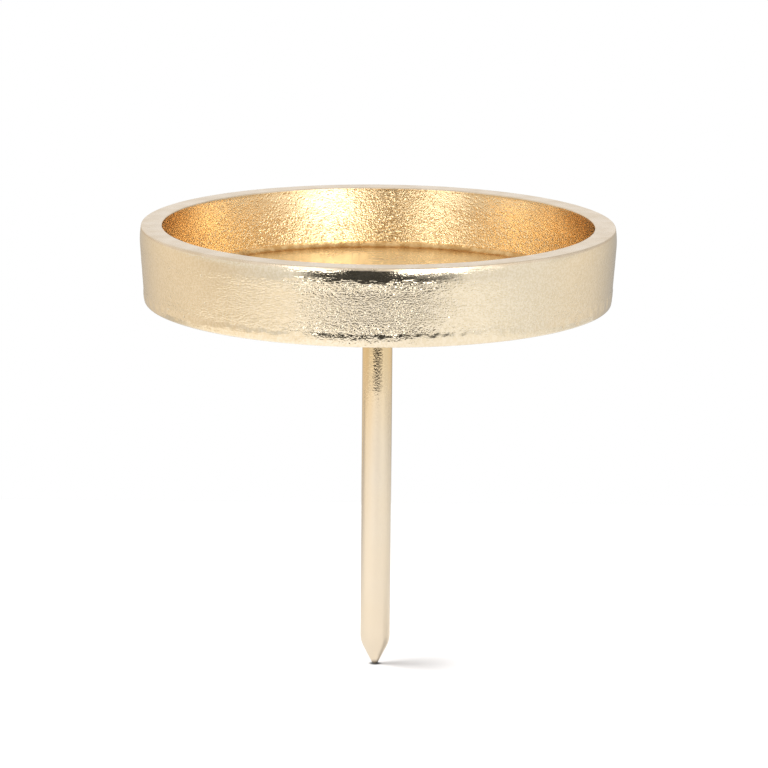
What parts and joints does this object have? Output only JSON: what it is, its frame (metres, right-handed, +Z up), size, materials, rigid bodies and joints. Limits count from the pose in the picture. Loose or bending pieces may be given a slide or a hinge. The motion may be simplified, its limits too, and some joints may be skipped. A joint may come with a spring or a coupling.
{
  "type": "pillar candle holder",
  "caption": "Shallow round cast-metal dish for a pillar candle on a pointed spike, pushed into a wreath, garland or floral foam.",
  "frame": {"origin": "where the spike's axis meets the underside of the dish", "axes": "+Z up along the spike's axis, out of the dish's open top; the object is round about Z, so X and Y are free"},
  "size_m": [0.1, 0.1, 0.0958],
  "materials": {
    "dish_plate": "champagne-gold plate over a sand-cast body, rim and floor turned",
    "spike_plate": "champagne-gold plate, drawn and lightly brushed along its length",
    "screw_plate": "champagne-gold plate, satin"
  },
  "bodies": {
    "root": {"dish": "dish_plate", "spike": "spike_plate", "dish_screw": "screw_plate"}
  },
  "joints": []
}
